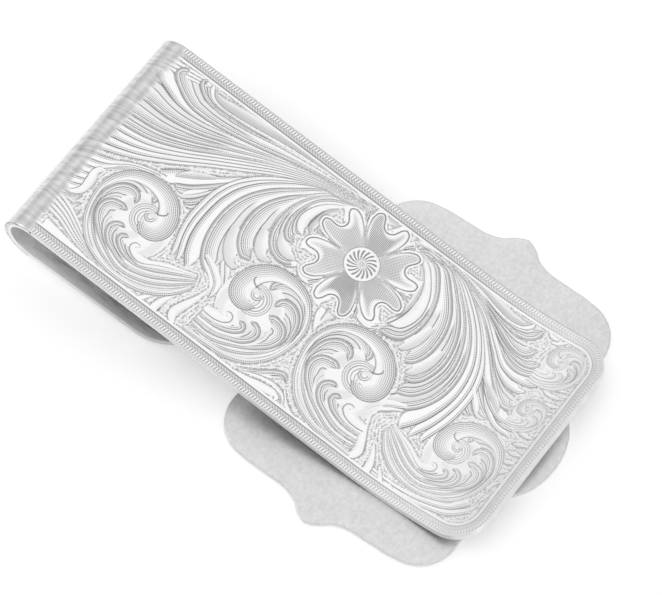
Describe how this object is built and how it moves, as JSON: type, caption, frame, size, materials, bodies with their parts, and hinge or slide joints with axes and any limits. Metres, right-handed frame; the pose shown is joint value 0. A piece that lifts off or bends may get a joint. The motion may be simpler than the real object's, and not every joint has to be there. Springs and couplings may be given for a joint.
{
  "type": "money clip",
  "caption": "Folded silver money clip: an engraved spring leaf with a rope border, folded over and soldered to a scalloped back plate.",
  "frame": {"origin": "centre of the back plate's flat outer face", "axes": "+X along the length from the fold to the free end, +Y across the strip, +Z out through the engraved leaf"},
  "size_m": [0.0569, 0.0378, 0.0082],
  "materials": {
    "engraved_silver": "hand-engraved bright-cut sterling silver",
    "bow_silver": "engraved sterling silver, worn smooth over the fold",
    "leg_silver": "sterling silver brushed along its length",
    "plate_silver": "fine satin sterling silver",
    "solder_silver": "silver solder"
  },
  "bodies": {
    "back": {"spring_bow": "bow_silver", "rear_leg": "leg_silver", "shaped_plate": "plate_silver", "solder_fillet": "solder_silver"},
    "leaf": {"engraved_leaf": "engraved_silver"}
  },
  "joints": [
    {"name": "leaf_flex", "type": "hinge", "parent": "back", "child": "leaf", "pos_m": [-0.0378, 0, 0.00525], "axis": [0, -1, 0], "range_deg": [0, 8], "stiffness_Nm_per_rad": 3.7, "springref_deg": -1.15, "deforming": ["spring_bow"]}
  ]
}
